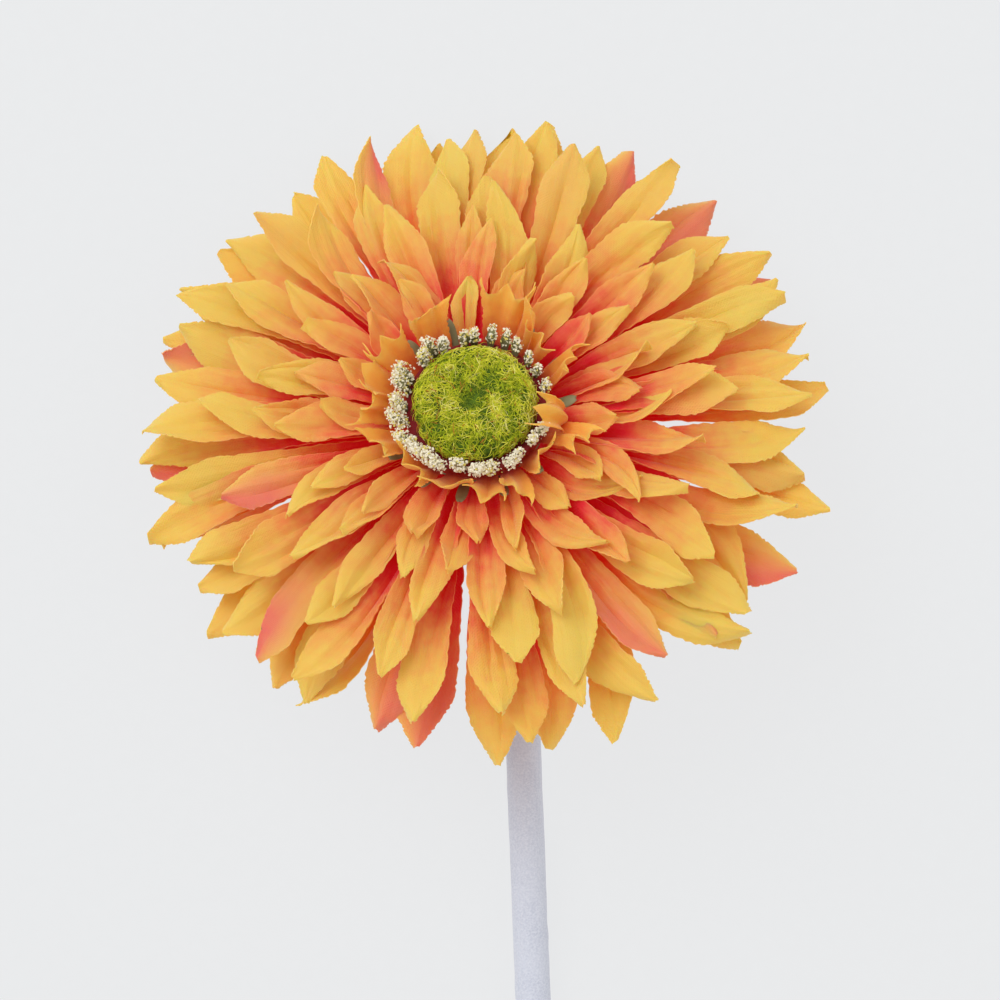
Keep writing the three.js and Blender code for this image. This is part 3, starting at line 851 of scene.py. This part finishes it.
rng = np.random.RandomState(77)
spikes, crumbs, yellows = [], [], []
for index in range(STAMENS):
    turn = index * 360 / STAMENS + rng.uniform(-4, 4)
    if apart(turn, PRESSED_AT) < PRESSED_WIDTH:
        continue
    azimuth = math.radians(turn)
    outside = hump(turn - LEANING_AT, LEANING_WIDTH)
    crust = 0.5 - 0.5 * math.sin(azimuth + 0.9)  # the lower ones carry more crumbs
    lean = math.radians(10 + rng.uniform(-7, 9) + 14 * outside)
    height = STAMEN_HEIGHT * rng.uniform(0.85, 1.12)
    outwards = np.array([math.cos(azimuth), math.sin(azimuth), 0])
    sideways = np.array([-math.sin(azimuth), math.cos(azimuth), 0])
    upwards = math.cos(lean) * UP + math.sin(lean) * outwards
    flat = math.cos(lean) * outwards - math.sin(lean) * UP
    foot = STAMEN_CIRCLE * outwards + (CUP_TOP - 0.8) * UP  # sunk into the cup
    bow = rng.uniform(-0.7, 0.7)
    shape = spike_shape * np.array([SPIKE_WIDTH, SPIKE_DEPTH, height])
    shape[:, 0] += bow * spike_shape[:, 2] ** 2
    spikes.append(on_table(foot + shape[:, :1] * sideways + shape[:, 1:2] * flat + shape[:, 2:] * upwards))
    fluff, bare, gold = rng.uniform(0.8, 1.25), rng.uniform(0.15, 0.4), rng.uniform(0, 0.3)
    for _ in range(int(rng.uniform(90, 120) * (1 + 1.3 * crust + 0.5 * outside))):
        share = bare + (1.08 - bare) * rng.uniform() ** 0.8  # of the height; the foot stays bare
        reach = fluff * (1.0 - 0.5 * abs(share - 0.65) * 2) * (1 + 0.5 * crust)
        place = foot + share * height * upwards + bow * share**2 * sideways
        beside, before = np.clip(rng.normal(size=2), -1.7, 1.7) * reach
        place = place + 0.62 * (1 + 0.4 * outside) * beside * sideways + 0.5 * before * flat
        size = rng.uniform(0.16, 0.46)
        turned = np.linalg.qr(rng.normal(size=(3, 3)))[0]
        knobbly = crumb_shape * (1 + rng.uniform(-0.45, 0.45, (len(crumb_shape), 1)))
        crumbs.append(on_table(place + (knobbly * rng.uniform(0.6, 1.5, 3) * size) @ turned.T))
        yellows.append(np.full(len(crumb_shape), 1.0 if rng.rand() < gold else 0.0))
smooth(cup)
cup.data.materials.append(wine_cloth)
spike_piece = joined_copies("spikes", spike_faces, spikes)
smooth(spike_piece, 80)
spike_piece.data.materials.append(green_plastic)
crumb_piece = joined_copies("crumbs", crumb_faces, crumbs, {"yellow": yellows})
crumb_piece.data.materials.append(crumb_flock)
join(cup, spike_piece, crumb_piece)
dress(cup, "stamen_ring", "stamen_plastic")
print(len(spikes), "spikes and", len(crumbs), "crumbs")

# %% [markdown]
# ## Felted disc
# The disc is a low dome with a dimple, covered in short curly fibres over a darker core. A fibre is a thin
# three-sided cone, cut into four so that it can curl.

# %% Disc finishes
disc_core, tree, shader, place = new_finish("disc core")
depth = clouds(tree, place, 900, 4)
moss = blended(tree, depth, colour(44, 70, 2), colour(96, 122, 8))
finish_shader(tree, shader, moss, 0.95, depth, 0.8, 0.3)

disc_fibre, tree, shader, place = new_finish("disc fibres")
shade = sums(tree, "ADD", mark(tree, "shade"), swing(tree, noise(tree, place, 220, 2), 0.22))
LIME = [  # from shaded to sunlit
    (0.0, (98, 122, 2)), (0.3, (168, 184, 8)), (0.55, (218, 220, 28)), (0.8, (248, 238, 90)),
    (1.0, (254, 246, 156)),
]
fibre_colour = ramp(tree, shade, LIME)
rusty = sums(tree, "GREATER_THAN", mark(tree, "rust"), 0.5)
fibre_colour = blended(tree, rusty, fibre_colour, colour(206, 128, 34))
finish_shader(tree, shader, fibre_colour, 0.75, noise(tree, place, 4000, 1), 0.15, 0.05)

# %% Raise the dome and cut one fibre
DISC_RADIUS, DISC_HEIGHT = 10.8, 5.2
DISC_BOTTOM = CUP_TOP + 0.3
CORE_SIZE = (DISC_RADIUS - 0.1, DISC_HEIGHT - 0.5)  # the fibres fill the rest
DOME = [  # shares of its radius and height, from the bottom edge to the dimple
    (0.95, 0.0), (1.0, 0.22), (0.99, 0.48), (0.93, 0.72), (0.82, 0.88), (0.67, 0.96), (0.51, 1.0),
    (0.35, 0.98), (0.19, 0.93), (0.04, 0.86),
]

dome_outline = np.array(DOME) * CORE_SIZE
dome = round_body("disc_felt", dome_outline + (0, DISC_BOTTOM), 48)
smooth(dome)

clear_selection()
bpy.ops.mesh.primitive_cone_add(vertices=3, radius1=1, radius2=0.35, depth=1, location=(0, 0, 0.5))
fibre = added("fibre")
work_in("EDIT")
for height in (0.25, 0.5, 0.75):
    bpy.ops.mesh.select_all(action="SELECT")
    bpy.ops.mesh.bisect(plane_co=(0, 0, height), plane_no=(0, 0, 1))
work_in("OBJECT")
fibre_shape, fibre_faces = take(fibre)
print("a fibre has", len(fibre_faces), "faces")


# %% Plant the fibres in tufts
TUFTS, FIBRES_IN_TUFT = 330, 14
TUFT_SPREAD = 0.035  # share of the way from the middle to the edge
EDGE, DIMPLE = 0.85, 0.2  # past the first and within the second, fibres are shorter
SLOPE_REACH = 0.8  # millimetres to either side over which the slope is measured

outline_radii, outline_heights = dome_outline[1:].T
run_lengths = np.hypot(np.diff(outline_radii), np.diff(outline_heights))
outline_run = np.concatenate([[0], np.cumsum(run_lengths)])


def dome_point(share, azimuth):
    """A point of the dome and its outward direction, by how far along the outline it is from the middle."""
    place = (1 - share) * outline_run[-1]
    back, ahead = max(place - SLOPE_REACH, 0), min(place + SLOPE_REACH, outline_run[-1])
    radius, inner, outer = np.interp([place, back, ahead], outline_run, outline_radii)
    height, lower, upper = np.interp([place, back, ahead], outline_run, outline_heights)
    slope = math.atan2(upper - lower, outer - inner)
    outwards = np.array([math.cos(azimuth), math.sin(azimuth), 0])
    normal = math.sin(slope) * outwards - math.cos(slope) * UP
    return radius * outwards + (DISC_BOTTOM + height) * UP, normal


rng = np.random.RandomState(31)
fibres, shades, rusts = [], [], []
for _ in range(TUFTS):
    tuft_share, tuft_azimuth = math.sqrt(rng.uniform(0.001, 1)), rng.uniform(0, 2 * math.pi)
    # painted shade: tufts in the dimple are darker by 0.3; otherwise each tuft draws a tone of its own
    tuft_shade = rng.normal(0.5, 0.12) - (0.3 if tuft_share < DIMPLE else 0)
    for _ in range(FIBRES_IN_TUFT):
        share = min(1, max(0.03, tuft_share + rng.normal(0, TUFT_SPREAD)))
        root, normal = dome_point(share, tuft_azimuth + rng.normal(0, TUFT_SPREAD) / share)
        lying = rng.normal(size=3)
        lying -= normal * lying.dot(normal)
        lying /= np.linalg.norm(lying)
        across_it = np.cross(normal, lying)
        length = rng.uniform(1.2, 2.8) * (0.7 if share > EDGE or share < DIMPLE else 1)
        start, curl, roll = rng.uniform(0.4, 1.2), rng.uniform(1.2, 3.0), rng.uniform(-3, 3)
        steps = fibre_shape[:, 2]
        angle = start + curl * steps
        run = length * (math.cos(start) - np.cos(angle)) / curl
        rise = 0.8 * length * (np.sin(angle) - math.sin(start)) / curl + 0.1 * steps
        # the fibre leaves the felt steeply, then curls over and lies down
        wander = roll * 0.35 * length * steps**2
        thick = rng.uniform(0.07, 0.14)
        middle = root + rise[:, None] * normal + run[:, None] * lying + wander[:, None] * across_it
        points = middle + thick * (fibre_shape[:, :1] * across_it + fibre_shape[:, 1:2] * normal)
        fibres.append(on_table(points))
        # painted light and shade: each fibre is lighter towards its tip and darker at its root, on top of its own
        # random tone
        shades.append(np.clip(tuft_shade + rng.normal(0, 0.16) + 0.3 * (steps - 0.4), 0, 1))
        rusty_share = 0.12 if share > EDGE else 0.03
        rusts.append(np.full(len(steps), 1.0 if rng.rand() < rusty_share else 0.0))
felt = joined_copies("felt", fibre_faces, fibres, {"shade": shades, "rust": rusts})
dome.data.materials.append(disc_core)
felt.data.materials.append(disc_fibre)
smooth(felt, 180)
join(dome, felt)
dress(dome, "disc", "disc_felt")

# %% [markdown]
# ## Calyx
# Behind the head a moulded cup holds the layers. Its outline starts at the bottom of the stem's socket, goes out
# round its mouth and up to the peg. A row of pointed bracts grows from its waist. The picture doesn't show it.

# %% Raise the cup and add the bracts
SOCKET_BOTTOM, SOCKET_MOUTH = -6.0, -12.0
CALYX = [
    (3.6, SOCKET_BOTTOM), (3.6, -11.7), (3.8, SOCKET_MOUTH), (4.6, SOCKET_MOUTH), (4.9, -11.6), (5.0, -10.4),
    (5.3, -9.2), (6.0, -7.8), (7.2, -6.5), (8.6, -4.9), (9.8, -3.5), (10.5, -2.0), (10.6, -1.0), (10.3, -0.4),
    (2.4, -0.3), (2.4, CUP_TOP - 0.2), (2.2, CUP_TOP),
]
BRACT = [(0.0, 0.9), (0.2, 1.0), (0.4, 0.95), (0.6, 0.8), (0.8, 0.52), (0.93, 0.24), (1.0, 0.06)]
BRACTS, BRACT_LENGTH, BRACT_WIDTH = 14, 12.5, 5.0
BRACT_ROOT = {"root_radius": 6.5, "root_height": -5.4}

calyx = round_body("calyx_cup", CALYX, 48)
smooth(calyx)
side, along, across, faces = read_die(cut_die("bract", 4, BRACT), 1)
bracts = []
for index in range(BRACTS):
    blade = traits(-1, index, BRACTS, BRACT_LENGTH, BRACT_WIDTH, 22, 4, wildness=0.3)
    blade.update(BRACT_ROOT)
    rise = blade["width"] / 2 * (0.2 * along * np.abs(across) - 0.1 * (1 - across**2))
    bracts.append(on_table(bent(blade, side * blade["width"], along, rise)))
bract_ring = joined_copies("bracts", faces, bracts)
apply_modifier(bract_ring, "SOLIDIFY", thickness=0.6 * MM, offset=0)
apply_modifier(bract_ring, "BEVEL", width=0.12 * MM, segments=1, limit_method="ANGLE")
smooth(bract_ring)
join(calyx, bract_ring)
dress(calyx, "calyx", "green_plastic", green_plastic)

# %% [markdown]
# ## Flocked stem
# A wire in a foam sleeve with a skin of pale flock. The stem's line is a curve: straight in its socket, round
# the bend behind the head, and down to the table. Its bevel gives it thickness, and small random steps roughen
# the mesh, as flock is a fine nap.

# %% Stem finish
stem_flock, tree, shader, place = new_finish("stem flock")
nap = noise(tree, place, 2600, 3, 0.6)
pale_flock = blended(tree, clouds(tree, place, 180, 3), colour(192, 196, 210), colour(202, 206, 218))
lint = blended(tree, spread(tree, nap, 0.35, 0.65), pale_flock, colour(214, 217, 227))
finish_shader(tree, shader, lint, 0.95, nap, 0.35, 0.12)
shader.inputs["Sheen Weight"].default_value = 0.25
shader.inputs["Sheen Roughness"].default_value = 0.6

wire_steel, tree, shader, place = new_finish("stem wire")
drawn = clouds(tree, place, 2000, 2)
steel = blended(tree, drawn, colour(120, 122, 126), colour(160, 162, 166))
finish_shader(tree, shader, steel, 0.35, drawn, 0.2, 0.05)
shader.inputs["Metallic"].default_value = 1.0

# %% Bend the stem's line and give it its thickness
STEM_RADIUS = 3.3
NECK_FOOT = Vector((6.4, 144.1, 8.5))
TOUCH_DOWN = Vector((11.2, 20.1, 3.23))
CUT_END = Vector((20.6, -224.5, 3.23))
NECK_HANDLE, SAG_HANDLE, LYING_HANDLE = 8, 45, 80
NAP = 0.035  # millimetres that the flock stands out or lies back
WIRE_RADIUS, WIRE_LENGTH = 0.9, 3

backwards = -(head_pose.to_3x3() @ Vector((0, 0, 1)))
seat = head_pose @ Vector((0, 0, SOCKET_BOTTOM - 0.3))
mouth = head_pose @ Vector((0, 0, SOCKET_MOUTH))
fall, run = (TOUCH_DOWN - NECK_FOOT).normalized(), (CUT_END - TOUCH_DOWN).normalized()
# point, handle before it, handle after it
STEM_LINE = [
    (seat, seat - backwards, seat + backwards * 2),
    (mouth, mouth - backwards * 2, mouth + backwards * NECK_HANDLE),
    (NECK_FOOT, NECK_FOOT - fall * NECK_HANDLE, NECK_FOOT + fall * SAG_HANDLE),
    (TOUCH_DOWN, TOUCH_DOWN - run * SAG_HANDLE, TOUCH_DOWN + run * LYING_HANDLE),
    (CUT_END, CUT_END - run * LYING_HANDLE, CUT_END + run),
]

clear_selection()
bpy.ops.curve.primitive_bezier_curve_add(location=(0, 0, 0))
line = bpy.context.object
line.name = "stem_sleeve"
line.data.dimensions = "3D"
spline = line.data.splines[0]
spline.bezier_points.add(len(STEM_LINE) - 2)
for point, (place, before, after) in zip(spline.bezier_points, STEM_LINE):
    point.handle_left_type = point.handle_right_type = "FREE"
    point.co, point.handle_left, point.handle_right = place * MM, before * MM, after * MM
line.data.resolution_u = 48
line.data.bevel_depth = STEM_RADIUS * MM
line.data.bevel_resolution = 6
line.data.use_fill_caps = True
only(line)
bpy.ops.object.convert(target="MESH")
sleeve = bpy.context.object
rng = np.random.RandomState(5)
nap_steps = rng.normal(0, NAP * MM, len(sleeve.data.vertices))
for vertex, step in zip(sleeve.data.vertices, nap_steps):
    vertex.co += vertex.normal * step
sleeve.data.materials.append(stem_flock)
smooth(sleeve, 60)

# %% Set the wire's end in the cut
clear_selection()
bpy.ops.mesh.primitive_cylinder_add(vertices=16, radius=WIRE_RADIUS * MM, depth=WIRE_LENGTH * MM)
wire = bpy.context.object
wire.rotation_mode = "QUATERNION"
wire.rotation_quaternion = run.to_track_quat("Z", "Y")
wire.location = (CUT_END - run * 1.2) * MM  # all but 0.3 mm of it is inside
bpy.ops.object.transform_apply(location=True, rotation=True)
apply_modifier(wire, "BEVEL", width=0.15 * MM, segments=2, limit_method="ANGLE")
wire.data.materials.append(wire_steel)
smooth(wire)
join(sleeve, wire)
dress(sleeve, "stem", "stem_flock")

# %% [markdown]
# ## Floor and light
# The pale table glows a little of its own, as a light table does, so the shadows stay faint. Light comes from
# large soft panels, the strongest from the upper left.

# %% Lay the floor
clear_selection()
bpy.ops.mesh.primitive_plane_add(size=6, location=(0, 0, -0.2 * MM))  # just below the flower
floor = bpy.context.object
floor.name = "floor"
pale, tree, shader, place = new_finish("pale table")
grain = clouds(tree, place, 400, 2)
feed(tree, shader.inputs["Base Color"], blended(tree, grain, colour(64, 65, 66), colour(67, 68, 69)))
shader.inputs["Roughness"].default_value = 0.9
shader.inputs["Emission Color"].default_value = (0.98, 0.99, 1.0, 1)
shader.inputs["Emission Strength"].default_value = 0.76
floor.data.materials.append(pale)

# %% Hang the lights
world = bpy.data.worlds.new("room")
world.use_nodes = True
daylight = world.node_tree.nodes["Background"].inputs
daylight["Color"].default_value = (0.97, 0.985, 1.0, 1)
daylight["Strength"].default_value = 0.7
scene.world = world
scene.view_settings.view_transform = "Standard"

# size and place in metres, power in watts
PANELS = [("upper left panel", 0.9, (-0.55, 0.75, 0.95), 8.0), ("right panel", 1.2, (0.9, 0.0, 0.9), 2.0)]
for name, size, place, power in PANELS:
    panel_data = bpy.data.lights.new(name, "AREA")
    panel_data.size = size
    panel_data.energy = power
    panel = bpy.data.objects.new(name, panel_data)
    panel.location = place
    panel.rotation_euler = (HUB * MM - Vector(place)).to_track_quat("-Z", "Y").to_euler()
    scene.collection.objects.link(panel)
print(len(PANELS), "panels")
